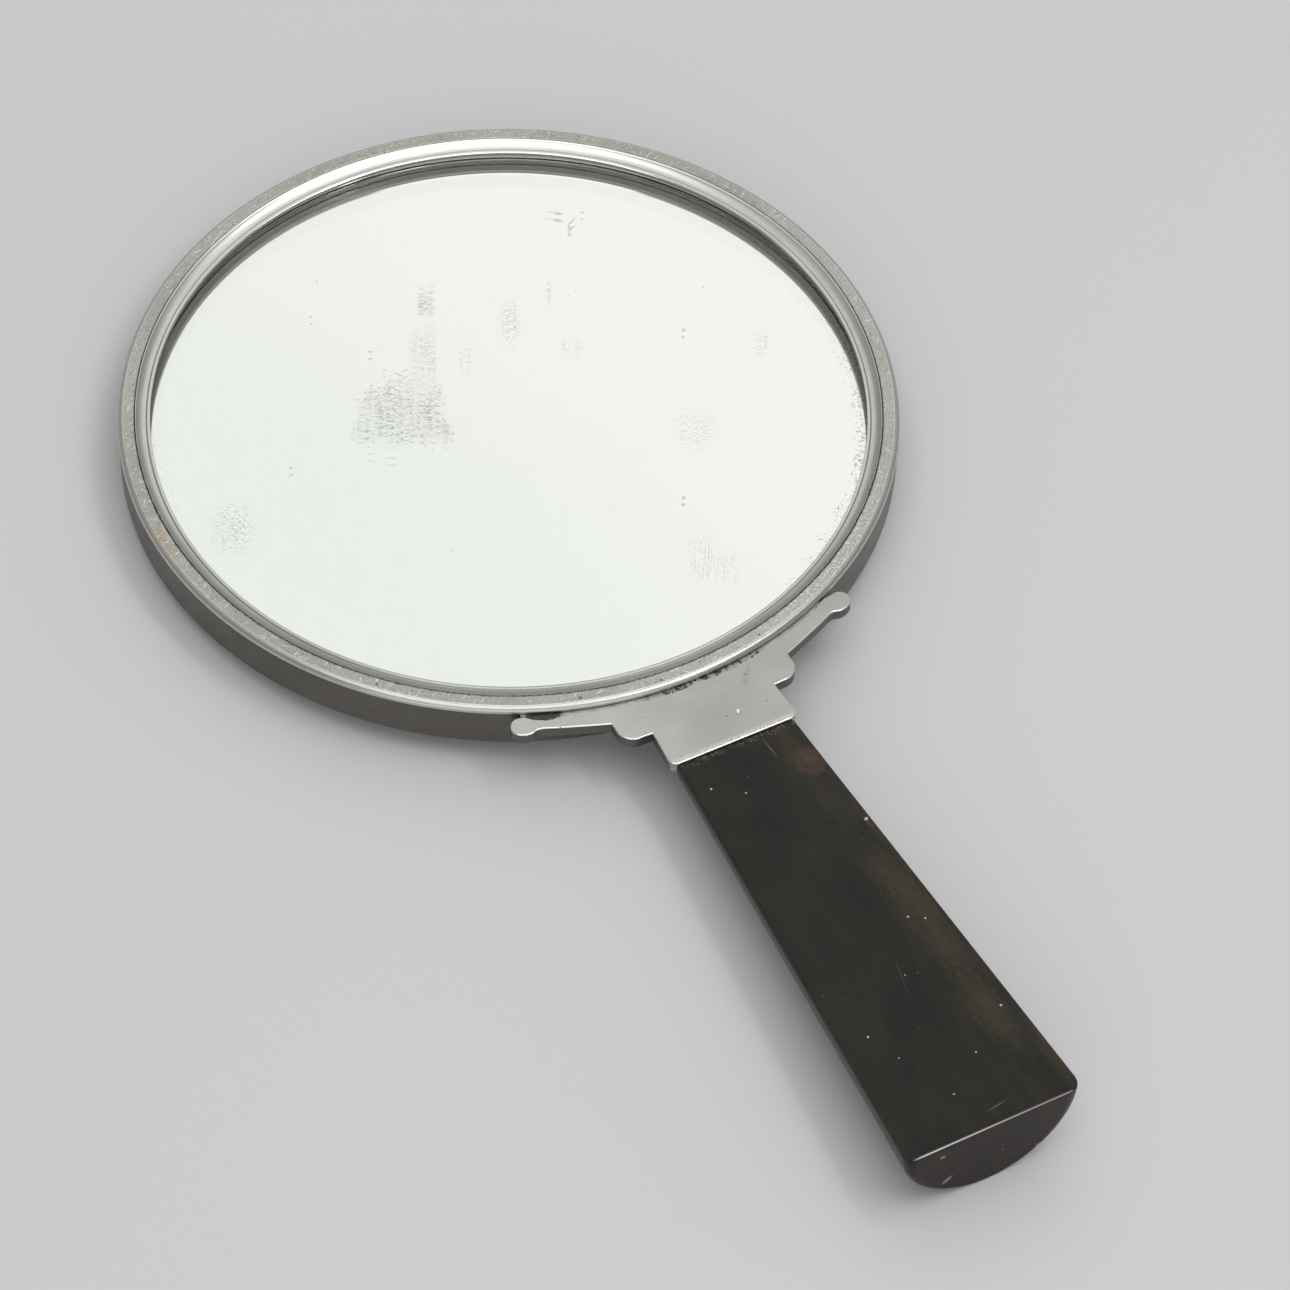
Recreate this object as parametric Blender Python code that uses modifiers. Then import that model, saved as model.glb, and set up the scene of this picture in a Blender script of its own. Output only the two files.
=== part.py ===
"""Round hand mirror: a turned pewter hoop with a coved bezel holds a second-surface
silvered glass, and a cast yoke soldered to the hoop carries a half-round horn handle
on a steel tang. Metres, +Z up, handle along -Y. The mirror lies face up on the hoop's
far lower edge and the handle's lower end, and the origin is under its middle."""

import bmesh
import bpy
import math
from mathutils import Matrix, Vector

MM = 0.001

# ---------------------------------------------------------------- driving dimensions
# Measured in the hoop's own frame: centre at x = y = 0, hoop's lower edge at z = 0.
RING_STEPS = 96
BORE_R = 67.6 * MM  # hoop bore, which holds glass, packing and bezel
LAND_R = 70.0 * MM  # outer edge of the flat land on top
BEAD_R = 70.85 * MM  # proud bead round the shoulder
WALL_R = 70.65 * MM  # plain outer wall
HOOP_H = 9.7 * MM
FIT = 0.3 * MM  # gap between touching pieces, round the sides
STACK = 0.1 * MM  # gap between pieces that lie on each other

PLATE_Z0, PLATE_Z1 = 0.3 * MM, 1.9 * MM  # back plate
CARD_T, FELT_T, SILVER_T, GLASS_T = 0.8 * MM, 0.7 * MM, 0.2 * MM, 3.5 * MM
GLASS_R = 66.2 * MM
STRIP_T = 0.8 * MM
LIP_R = 64.8 * MM  # clear opening of the bezel
LIP_Z = 8.8 * MM
COVE_TOP_Z = 9.55 * MM

YOKE_TOP, YOKE_T = 8.35 * MM, 2.4 * MM
YOKE_IN_R = BEAD_R + FIT
BALL_R = 1.95 * MM
BALL_X, BALL_Y = 31.4 * MM, -66.2 * MM
ARM_R0, ARM_R1 = 73.6 * MM, 74.75 * MM  # outer edge of the arm, at the ball and at the lobe
LOBE_X, LOBE_Y, LOBE_R = 14.15 * MM, -74.5 * MM, 3.2 * MM
NECK_X0, NECK_X1 = 12.0 * MM, 12.4 * MM
NECK_END = -85.6 * MM
NECK_CORNER_R = 1.6 * MM
BOSS_R0, BOSS_R1 = 7.85 * MM, 10.9 * MM  # half-round boss under the neck

HANDLE_Y0, HANDLE_Y1 = -85.9 * MM, -173.8 * MM
HANDLE_TOP = 7.9 * MM
HANDLE_R0, HANDLE_R1 = 11.5 * MM, 16.65 * MM  # half width at each end
HANDLE_DEPTH = 0.955  # depth of the section as a share of its half width
HANDLE_EDGE = 0.8 * MM  # rounding of every edge

TANG_Z = 2.0 * MM
TANG_R, TANG_Y0, TANG_Y1 = 2.4 * MM, -78.0 * MM, -136.0 * MM
CEMENT_R = 3.5 * MM

# Attitude at rest: the handle is deeper than the hoop, so the whole mirror lies tilted.
REST_TILT = math.radians(-1.878)
REST_Y = 51.42 * MM
REST_Z = 2.2835 * MM

PARTS = "hand_mirror"


def clear_scene():
    for obj in list(bpy.data.objects):
        bpy.data.objects.remove(obj, do_unlink=True)


def collection(name, hidden=False):
    made = bpy.data.collections.new(name)
    bpy.context.scene.collection.children.link(made)
    made.hide_render = hidden
    return made


clear_scene()
parts = collection(PARTS)
cutters = collection(PARTS + "_cutters", hidden=True)

seat = bpy.data.objects.new("rest_attitude", None)
parts.objects.link(seat)
seat.location = (0.0, REST_Y, REST_Z)
seat.rotation_euler = (REST_TILT, 0.0, 0.0)


def material(name, colour, roughness, metallic, **extra):
    made = bpy.data.materials.new(name)
    made.use_nodes = True
    shader = made.node_tree.nodes["Principled BSDF"]
    shader.inputs["Base Color"].default_value = (*colour, 1.0)
    shader.inputs["Roughness"].default_value = roughness
    shader.inputs["Metallic"].default_value = metallic
    for key, value in extra.items():
        shader.inputs[key.replace("_", " ")].default_value = value
    made.diffuse_color = (*colour, 1.0)
    return made


PEWTER = (0.42, 0.42, 0.39)


def place(obj, where=None):
    (where or parts).objects.link(obj)
    obj.parent = seat
    if where is cutters:
        obj.hide_render = True
        obj.display_type = "WIRE"
    return obj


def object_of(name, bm, mat=None, where=None, smooth=30.0):
    bmesh.ops.recalc_face_normals(bm, faces=bm.faces)
    mesh = bpy.data.meshes.new(name)
    bm.to_mesh(mesh)
    bm.free()
    if smooth:
        mesh.shade_smooth()
        mesh.set_sharp_from_angle(angle=math.radians(smooth))
    if mat:
        mesh.materials.append(mat)
    return place(bpy.data.objects.new(name, mesh), where)


def turned(name, profile, mat, steps=RING_STEPS, ring=True, where=None):
    """Turns a profile of (radius, height) points about Z. It runs along the top outwards,
    down the outer side and back along the bottom; a ring's profile closes on itself."""
    mesh = bpy.data.meshes.new(name)
    points = [(r, 0.0, z) for r, z in profile]
    edges = [(i, i + 1) for i in range(len(points) - 1)]
    if ring:
        edges.append((len(points) - 1, 0))
    mesh.from_pydata(points, edges, [])
    if mat:
        mesh.materials.append(mat)
    obj = place(bpy.data.objects.new(name, mesh), where)
    screw = obj.modifiers.new("turn", "SCREW")
    screw.axis = "Z"
    screw.angle = math.tau
    screw.steps = screw.render_steps = steps
    screw.use_merge_vertices = True
    screw.merge_threshold = 1e-6
    screw.use_smooth_shade = True
    return obj


def arc(cx, cy, r, start, end, count):
    """Points on a circle, from one angle to the other, in degrees."""
    turn = (math.radians(start + (end - start) * i / count) for i in range(count + 1))
    return [(cx + r * math.cos(a), cy + r * math.sin(a)) for a in turn]


def boolean(obj, other, operation):
    cut = obj.modifiers.new(other.name, "BOOLEAN")
    cut.operation = operation
    cut.solver = "EXACT"
    cut.object = other
    return cut


def bevel(obj, width, segments, angle=35.0):
    made = obj.modifiers.new("edge", "BEVEL")
    made.width = width
    made.segments = segments
    made.limit_method = "ANGLE"
    made.angle_limit = math.radians(angle)
    return made


# ---------------------------------------------------------------- materials
pewter = material("pewter", PEWTER, 0.38, 1.0)
pewter_dark = material("pewter_wall", (0.2, 0.19, 0.18), 0.45, 1.0)
solder = material("solder", (0.3, 0.3, 0.28), 0.55, 1.0)
glass = material("glass", (0.86, 0.93, 0.9), 0.02, 0.0, IOR=1.52)
silver = material("silver", (0.93, 0.94, 0.92), 0.04, 1.0)
card = material("card", (0.45, 0.38, 0.28), 0.9, 0.0)
felt = material("felt", (0.25, 0.27, 0.24), 0.95, 0.0)
paper = material("paper", (0.6, 0.55, 0.45), 0.9, 0.0)
horn = material("horn", (0.035, 0.03, 0.024), 0.22, 0.0)
steel = material("steel", (0.45, 0.44, 0.43), 0.4, 1.0)
cement = material("cement", (0.32, 0.24, 0.14), 0.7, 0.0)

# ---------------------------------------------------------------- hoop, bezel and glass
hoop = turned(
    "frame_hoop",
    [
        (BORE_R, HOOP_H),
        (LAND_R, HOOP_H),
        (LAND_R + 0.05 * MM, HOOP_H - 0.22 * MM),
        (LAND_R + 0.35 * MM, HOOP_H - 0.3 * MM),
        (BEAD_R - 0.2 * MM, HOOP_H - 0.6 * MM),
        (BEAD_R, HOOP_H - 0.95 * MM),
        (BEAD_R - 0.04 * MM, HOOP_H - 1.2 * MM),
        (WALL_R, HOOP_H - 1.35 * MM),
        (WALL_R, 1.2 * MM),
        (WALL_R - 0.3 * MM, 0.45 * MM),
        (WALL_R - 1.0 * MM, 0.0),
        (BORE_R + 0.7 * MM, 0.0),
        (BORE_R, 0.25 * MM),
    ],
    pewter,
)

BEZEL_R = BORE_R - FIT


def bezel_profile():
    """The cove falls steeply from the hoop and flattens to a fine bead at the lip."""
    drop = COVE_TOP_Z - 8.7 * MM
    run = 1.35 * MM
    cove = []
    for i in range(5):
        t = i / 4
        cove.append((BEZEL_R - 0.05 * MM - run * (1 - math.cos(t * math.pi / 2)) * 0.55
                     - run * t * 0.45, COVE_TOP_Z - drop * math.sin(t * math.pi / 2)))
    cove.reverse()
    z0 = LIP_Z - 1.2 * MM
    inner = [
        (LIP_R, z0),
        (LIP_R, LIP_Z - 0.25 * MM),
        (LIP_R + 0.2 * MM, LIP_Z),
        (LIP_R + 0.6 * MM, LIP_Z + 0.04 * MM),
        (LIP_R + 0.75 * MM, LIP_Z - 0.08 * MM),
    ]
    return inner + cove + [(BEZEL_R, COVE_TOP_Z - 0.1 * MM), (BEZEL_R, z0)]


bezel = turned("bezel_ring", bezel_profile(), pewter)

z = PLATE_Z1 + STACK
CARD_Z = z
FELT_Z = CARD_Z + CARD_T + STACK
SILVER_Z = FELT_Z + FELT_T + STACK
GLASS_Z = SILVER_Z + SILVER_T + STACK
GLASS_TOP = GLASS_Z + GLASS_T

back_plate = turned(
    "back_plate",
    [
        (0.0, PLATE_Z1),
        (BORE_R - FIT, PLATE_Z1),
        (BORE_R - FIT, PLATE_Z0),
        (63.4 * MM, PLATE_Z0),
        (63.0 * MM, PLATE_Z0 + 0.3 * MM),
        (62.0 * MM, PLATE_Z0 + 0.3 * MM),
        (61.6 * MM, PLATE_Z0),
        (0.0, PLATE_Z0),
    ],
    pewter,
    ring=False,
)
for name, radius, low, thick, mat in (
    ("backing_card", 66.9 * MM, CARD_Z, CARD_T, card),
    ("felt_pad", 66.0 * MM, FELT_Z, FELT_T, felt),
    ("silver_coating", GLASS_R, SILVER_Z, SILVER_T, silver),
):
    turned(
        name,
        [(0.0, low + thick), (radius, low + thick), (radius, low), (0.0, low)],
        mat,
        ring=False,
    )
ARRIS = 0.3 * MM
turned(
    "mirror_glass",
    [
        (0.0, GLASS_TOP),
        (GLASS_R - ARRIS, GLASS_TOP),
        (GLASS_R, GLASS_TOP - ARRIS),
        (GLASS_R, GLASS_Z + ARRIS),
        (GLASS_R - ARRIS, GLASS_Z),
        (0.0, GLASS_Z),
    ],
    glass,
    ring=False,
)
STRIP_R = GLASS_R + FIT
turned(
    "glass_edge_strip",
    [
        (STRIP_R, GLASS_TOP - 0.1 * MM),
        (STRIP_R + STRIP_T, GLASS_TOP - 0.1 * MM),
        (STRIP_R + STRIP_T, GLASS_Z),
        (STRIP_R, GLASS_Z),
    ],
    paper,
)

# ---------------------------------------------------------------- yoke


def half_outline():
    """Right half of the yoke seen from above, from the inner arc round to the neck's end."""
    right = [(0.0, -69.0 * MM)]
    right += arc(0.0, 0.0, 69.5 * MM, -88.0, -65.0, 8)
    right += arc(BALL_X, BALL_Y, BALL_R, 118.0, -78.0, 14)
    for i in range(7):
        t = i / 6
        r = ARM_R0 + (ARM_R1 - ARM_R0) * t * t
        a = math.radians(-66.4 - 10.1 * t)
        right.append((r * math.cos(a), r * math.sin(a)))
    right.append((LOBE_X + LOBE_R - 0.05 * MM, -72.9 * MM))
    right += arc(LOBE_X, LOBE_Y, LOBE_R, 8.0, -95.0, 9)
    right.append((NECK_X0, LOBE_Y - LOBE_R + 0.02 * MM))
    right += arc(
        NECK_X1 - NECK_CORNER_R, NECK_END + NECK_CORNER_R, NECK_CORNER_R, 0.0, -90.0, 5
    )
    return right


def flat_outline(name, points, low, high):
    """A flat outline as a filled 2D curve, extruded between two heights, as a mesh."""
    curve = bpy.data.curves.new(name, "CURVE")
    curve.dimensions = "2D"
    curve.fill_mode = "BOTH"
    curve.extrude = (high - low) / 2
    spline = curve.splines.new("POLY")
    spline.points.add(len(points) - 1)
    for point, (x, y) in zip(spline.points, points):
        point.co = (x, y, 0.0, 1.0)
    spline.use_cyclic_u = True
    guide = bpy.data.objects.new(name + "_curve", curve)
    bpy.context.scene.collection.objects.link(guide)
    guide.location.z = (high + low) / 2
    bpy.context.view_layer.update()
    graph = bpy.context.evaluated_depsgraph_get()
    mesh = bpy.data.meshes.new_from_object(guide.evaluated_get(graph))
    mesh.transform(guide.matrix_world)
    bpy.data.objects.remove(guide, do_unlink=True)
    bm = bmesh.new()
    bm.from_mesh(mesh)
    bpy.data.meshes.remove(mesh)
    bmesh.ops.remove_doubles(bm, verts=bm.verts, dist=1e-6)
    bmesh.ops.dissolve_limit(
        bm, angle_limit=math.radians(0.5), verts=bm.verts, edges=bm.edges
    )
    return bm


def half_cone(y0, y1, r0, r1, top, depth, segments):
    """The lower half of a cone along Y, with its flat side up at the height given."""
    bm = bmesh.new()
    lie = Matrix.Translation((0.0, (y0 + y1) / 2, 0.0)) @ Matrix.Rotation(
        math.radians(90.0), 4, "X"
    )
    bmesh.ops.create_cone(
        bm,
        cap_ends=True,
        segments=segments,
        radius1=r0,
        radius2=r1,
        depth=abs(y1 - y0),
        matrix=lie,
    )
    cut = bmesh.ops.bisect_plane(
        bm,
        geom=bm.verts[:] + bm.edges[:] + bm.faces[:],
        plane_co=(0.0, 0.0, 0.0),
        plane_no=(0.0, 0.0, 1.0),
        clear_outer=True,
    )
    bmesh.ops.holes_fill(bm, edges=[e for e in bm.edges if e.is_boundary])
    bmesh.ops.scale(bm, vec=(1.0, 1.0, depth), verts=bm.verts)
    bmesh.ops.translate(bm, vec=(0.0, 0.0, top), verts=bm.verts)
    return bm


def cylinder_y(name, radius, y0, y1, height, segments=40, mat=None, where=None):
    bm = bmesh.new()
    lie = Matrix.Translation((0.0, (y0 + y1) / 2, height)) @ Matrix.Rotation(
        math.radians(90.0), 4, "X"
    )
    bmesh.ops.create_cone(
        bm,
        cap_ends=True,
        segments=segments,
        radius1=radius,
        radius2=radius,
        depth=abs(y1 - y0),
        matrix=lie,
    )
    return object_of(name, bm, mat, where)


right = half_outline()
left = [(-x, y) for x, y in reversed(right) if x > 1e-9]
yoke = object_of(
    "yoke", flat_outline("yoke", right + left, YOKE_TOP - YOKE_T, YOKE_TOP), pewter
)
bevel(yoke, 0.3 * MM, 2, angle=60.0)
boss = object_of(
    "yoke_boss",
    half_cone(-69.5 * MM, NECK_END, BOSS_R0, BOSS_R1, YOKE_TOP - 0.6 * MM, 0.97, 48),
    where=cutters,
)
hoop_room = turned(
    "hoop_room",
    [(0.0, 30 * MM), (YOKE_IN_R, 30 * MM), (YOKE_IN_R, -20 * MM), (0.0, -20 * MM)],
    None,
    steps=144,
    ring=False,
    where=cutters,
)
tang_room = cylinder_y(
    "tang_room", TANG_R + FIT, -77.7 * MM, -95.0 * MM, TANG_Z, 32, where=cutters
)
boolean(yoke, boss, "UNION")
boolean(yoke, hoop_room, "DIFFERENCE")
boolean(yoke, tang_room, "DIFFERENCE")

SEAM_TOP = YOKE_TOP - YOKE_T - FIT
for side, name in ((1, "solder_seam_right"), (-1, "solder_seam_left")):
    seam = turned(
        name,
        [
            (WALL_R + FIT, SEAM_TOP),
            (WALL_R + 1.9 * MM, SEAM_TOP),
            (WALL_R + 1.2 * MM, SEAM_TOP - 0.7 * MM),
            (WALL_R + FIT, SEAM_TOP - 1.6 * MM),
        ],
        solder,
    )
    bm = bmesh.new()
    span = (28.5 - 9.4) * MM
    bmesh.ops.create_cube(
        bm,
        size=1.0,
        matrix=Matrix.Translation((side * (9.4 * MM + span / 2), -75 * MM, SEAM_TOP))
        @ Matrix.Diagonal((span, 30 * MM, 10 * MM, 1.0)),
    )
    boolean(seam, object_of(name + "_span", bm, where=cutters, smooth=0), "INTERSECT")

# ---------------------------------------------------------------- handle and tang


def half_round(half_width, inset):
    """The handle's section: flat on top, rounded corners, and a half ellipse below."""
    w = half_width - inset
    top = HANDLE_TOP - inset
    low = HANDLE_TOP - half_width * HANDLE_DEPTH + inset
    edge = max(HANDLE_EDGE - inset, 0.08 * MM)
    corner = arc(w - edge, top - edge, edge, 90.0, 0.0, 4)
    belly = []
    for i in range(1, 18):
        a = math.radians(-90.0 * i / 18)
        belly.append((w * math.cos(a), top - edge + (top - edge - low) * math.sin(a)))
    half = corner + belly
    return half + [(0.0, low)] + [(-x, h) for x, h in reversed(half)]


def handle_loft():
    """Sections along -Y, drawn in at both ends so that the end edges are round."""
    stations = []
    for i in range(4):
        a = math.radians(30.0 * i)
        stations.append((HANDLE_EDGE * (1 - math.sin(a)), HANDLE_EDGE * (1 - math.cos(a))))
    length = HANDLE_Y0 - HANDLE_Y1
    along = [(back, inset) for inset, back in stations]
    along += [(length * 0.5, 0.0)]
    along += [(length - back, inset) for inset, back in reversed(stations)]
    bm = bmesh.new()
    loops = []
    for back, inset in along:
        share = back / length
        half_width = HANDLE_R0 + (HANDLE_R1 - HANDLE_R0) * share
        loops.append(
            [bm.verts.new((x, HANDLE_Y0 - back, h)) for x, h in half_round(half_width, inset)]
        )
    for a, b in zip(loops, loops[1:]):
        for i in range(len(a)):
            j = (i + 1) % len(a)
            bm.faces.new((a[i], a[j], b[j], b[i]))
    bm.faces.new(loops[0])
    bm.faces.new(list(reversed(loops[-1])))
    return bm


handle = object_of("handle", handle_loft(), horn)
handle_bore = cylinder_y(
    "handle_bore", CEMENT_R + FIT, -80 * MM, TANG_Y1 - 2 * MM, TANG_Z, 40, where=cutters
)
boolean(handle, handle_bore, "DIFFERENCE")

tang = cylinder_y("tang", TANG_R, TANG_Y0, TANG_Y1, TANG_Z, 32, steel)
bevel(tang, 0.5 * MM, 1)
cement_sleeve = cylinder_y(
    "tang_cement", CEMENT_R, HANDLE_Y0 - 0.4 * MM, TANG_Y1 - 1 * MM, TANG_Z, 40, cement
)
sleeve_bore = cylinder_y(
    "cement_bore", TANG_R + FIT, -80 * MM, TANG_Y1 - 10 * MM, TANG_Z, 32, where=cutters
)
boolean(cement_sleeve, sleeve_bore, "DIFFERENCE")
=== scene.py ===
"""Looks of the hand mirror: finely turned pewter rings, a cast yoke, a second-surface
mirror with old scuffs and desilvering, and a polished horn handle, built around the
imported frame. Pieces are modelled in the hoop's own frame, in millimetres, and take the
attitude in which the mirror lies at rest."""

import math

import bmesh
import bpy
from mathutils import Matrix, Vector, noise


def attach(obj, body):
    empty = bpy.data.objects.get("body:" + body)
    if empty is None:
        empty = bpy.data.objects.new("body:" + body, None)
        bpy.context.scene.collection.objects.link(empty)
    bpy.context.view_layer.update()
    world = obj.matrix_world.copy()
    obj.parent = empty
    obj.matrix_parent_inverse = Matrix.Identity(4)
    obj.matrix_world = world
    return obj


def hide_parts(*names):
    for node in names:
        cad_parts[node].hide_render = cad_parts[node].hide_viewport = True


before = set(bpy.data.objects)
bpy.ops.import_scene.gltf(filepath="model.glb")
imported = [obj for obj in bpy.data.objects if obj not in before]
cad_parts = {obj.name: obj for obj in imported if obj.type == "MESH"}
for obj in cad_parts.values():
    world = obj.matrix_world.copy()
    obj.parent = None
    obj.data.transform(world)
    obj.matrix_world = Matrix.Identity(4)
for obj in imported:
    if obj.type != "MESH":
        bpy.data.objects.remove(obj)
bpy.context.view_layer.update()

MM = 0.001
REST = Matrix.Translation((0.0, 51.42 * MM, 2.2835 * MM)) @ Matrix.Rotation(
    math.radians(-1.878), 4, "X"
)
scene = bpy.context.scene
scene.view_settings.view_transform = "Standard"
scene.view_settings.look = "None"
scene.view_settings.exposure = 0.0
scene.view_settings.gamma = 1.0


# ---------------------------------------------------------------- node graphs
class V:
    """One value in a material's graph, with arithmetic."""

    def __init__(self, graph, socket):
        self.g, self.s = graph, socket

    def __add__(self, o):
        return self.g.math("ADD", self, o)

    __radd__ = __add__

    def __sub__(self, o):
        return self.g.math("SUBTRACT", self, o)

    def __rsub__(self, o):
        return self.g.math("SUBTRACT", o, self)

    def __mul__(self, o):
        return self.g.math("MULTIPLY", self, o)

    __rmul__ = __mul__

    def __truediv__(self, o):
        return self.g.math("DIVIDE", self, o)

    def abs(self):
        return self.g.math("ABSOLUTE", self)

    def max(self, o):
        return self.g.math("MAXIMUM", self, o)

    def min(self, o):
        return self.g.math("MINIMUM", self, o)

    def power(self, o):
        return self.g.math("POWER", self, o)

    def step(self, a, b, lo=0.0, hi=1.0):
        """lo where the value is a, hi where it is b, with a smooth turn between."""
        return self.g.step(self, a, b, lo, hi)


class Graph:
    def __init__(self, name):
        self.mat = bpy.data.materials.new(name)
        self.mat.use_nodes = True
        self.tree = self.mat.node_tree
        self.tree.nodes.clear()
        out = self.tree.nodes.new("ShaderNodeOutputMaterial")
        self.bsdf = self.tree.nodes.new("ShaderNodeBsdfPrincipled")
        self.tree.links.new(self.bsdf.outputs["BSDF"], out.inputs["Surface"])
        coord = self.tree.nodes.new("ShaderNodeTexCoord")
        scaled = self.tree.nodes.new("ShaderNodeMapping")
        scaled.vector_type = "POINT"
        self.tree.links.new(coord.outputs["Object"], scaled.inputs["Vector"])
        back = REST.inverted()
        scaled.inputs["Location"].default_value = back.translation * 1000.0
        scaled.inputs["Rotation"].default_value = back.to_euler()
        scaled.inputs["Scale"].default_value = (1000.0, 1000.0, 1000.0)
        self.p = V(self, scaled.outputs["Vector"])
        self.x, self.y, self.z = self.split(self.p)
        turned = self.tree.nodes.new("ShaderNodeMapping")
        turned.vector_type = "POINT"
        self.tree.links.new(coord.outputs["Normal"], turned.inputs["Vector"])
        turned.inputs["Rotation"].default_value = back.to_euler()
        self.normal = V(self, turned.outputs["Vector"])
        self.nx, self.ny, self.nz = self.split(self.normal)
        self._r = None
        self._rag = None

    def node(self, kind, **settings):
        made = self.tree.nodes.new(kind)
        for k, v in settings.items():
            setattr(made, k, v)
        return made

    def link(self, value, socket):
        if isinstance(value, V):
            self.tree.links.new(value.s, socket)
        elif isinstance(value, (tuple, list)):
            want = len(socket.default_value)
            socket.default_value = tuple(value)[:3] + ((1.0,) if want == 4 else ())
        else:
            socket.default_value = value

    def split(self, vector):
        n = self.node("ShaderNodeSeparateXYZ")
        self.link(vector, n.inputs[0])
        return [V(self, n.outputs[i]) for i in range(3)]

    def vec(self, x, y=0.0, z=0.0):
        n = self.node("ShaderNodeCombineXYZ")
        for i, v in enumerate((x, y, z)):
            self.link(v, n.inputs[i])
        return V(self, n.outputs[0])

    def math(self, op, *args, clamp=False):
        n = self.node("ShaderNodeMath", operation=op, use_clamp=clamp)
        for i, v in enumerate(args):
            self.link(v, n.inputs[i])
        return V(self, n.outputs[0])

    def step(self, value, a, b, lo=0.0, hi=1.0):
        n = self.node("ShaderNodeMapRange", interpolation_type="SMOOTHSTEP")
        for key, v in zip(
            ("Value", "From Min", "From Max", "To Min", "To Max"),
            (value, a, b, lo, hi),
        ):
            self.link(v, n.inputs[key])
        return V(self, n.outputs["Result"])

    @property
    def r(self):
        if self._r is None:
            self._r = (self.x * self.x + self.y * self.y).power(0.5)
        return self._r

    def noise(self, vector, scale=1.0, detail=2.0, rough=0.5, warp=0.0):
        """Noise from 0 to 1, round 0.5. Scale is in features per millimetre."""
        n = self.node("ShaderNodeTexNoise")
        self.link(vector, n.inputs["Vector"])
        n.inputs["Scale"].default_value = scale
        n.inputs["Detail"].default_value = detail
        n.inputs["Roughness"].default_value = rough
        n.inputs["Distortion"].default_value = warp
        return V(self, n.outputs[0])

    def cells(self, vector, scale=1.0, feature="F1", random=1.0):
        n = self.node("ShaderNodeTexVoronoi", feature=feature)
        self.link(vector, n.inputs["Vector"])
        n.inputs["Scale"].default_value = scale
        n.inputs["Randomness"].default_value = random
        return n

    def dots(self, vector, scale, size, share):
        """Sparse round specks: size and the share of cells that hold one."""
        n = self.cells(vector, scale)
        picked = self.split(V(self, n.outputs["Color"]))
        rim = picked[1].step(0.0, 1.0, size * 0.35, size)
        inside = self.math("LESS_THAN", V(self, n.outputs["Distance"]), rim)
        return inside * self.math("LESS_THAN", picked[0], share)

    def mix(self, share, a, b, blend="MIX"):
        n = self.node("ShaderNodeMix", data_type="RGBA", blend_type=blend)
        self.link(share, n.inputs[0])
        self.link(a, n.inputs[6])
        self.link(b, n.inputs[7])
        return V(self, n.outputs[2])

    def turned(self, x, y, angle):
        """The coordinates x, y seen from axes turned by the angle, in degrees."""
        c, s = math.cos(math.radians(angle)), math.sin(math.radians(angle))
        return x * c + y * s, y * c - x * s

    def lines(self, x, y, angle, scale, stretch, width, share, seed=0.0):
        """Thin, mostly straight scratches along one direction, where a mask lets them."""
        u, w = self.turned(x, y, angle)
        n = self.noise(self.vec(u * (1.0 / stretch), w, seed), scale, 1.0, 0.4, 0.15)
        fine = (n - 0.5).abs().step(width, 0.0)
        gate = self.noise(
            self.vec(u * (1.6 / stretch), w * 0.9, seed + 7.3), scale, 1.0, 0.5
        )
        return fine * gate.step(share, share + 0.06)

    def spot(self, x, y, cx, cy, rx, ry, angle=0.0, soft=0.5, ragged=0.0):
        """1 inside an ellipse, 0 outside, over a soft edge."""
        place = self.node("ShaderNodeMapping", vector_type="TEXTURE")
        self.link(self.vec(x, y), place.inputs["Vector"])
        place.inputs["Location"].default_value = (cx, cy, 0.0)
        place.inputs["Rotation"].default_value = (0.0, 0.0, math.radians(angle))
        place.inputs["Scale"].default_value = (rx, ry, 1.0)
        far = self.node("ShaderNodeVectorMath", operation="LENGTH")
        self.link(V(self, place.outputs["Vector"]), far.inputs[0])
        d = V(self, far.outputs["Value"])
        if ragged:
            if self._rag is None:
                self._rag = self.noise(self.p, 0.9, 3.0, 0.6) - 0.5
            d = d + self._rag * ragged
        return d.step(1.0 + soft, 1.0 - soft)

    def bump(self, height, distance, strength=1.0, onto=None):
        """Bump from a height between 0 and 1 that stands for a distance in millimetres."""
        n = self.node("ShaderNodeBump")
        n.inputs["Strength"].default_value = strength
        n.inputs["Distance"].default_value = distance * MM
        self.link(height, n.inputs["Height"])
        if onto is not None:
            self.link(onto, n.inputs["Normal"])
        return V(self, n.outputs["Normal"])

    def set(self, **values):
        for key, v in values.items():
            self.link(v, self.bsdf.inputs[key.replace("_", " ")])
        return self.mat


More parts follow.
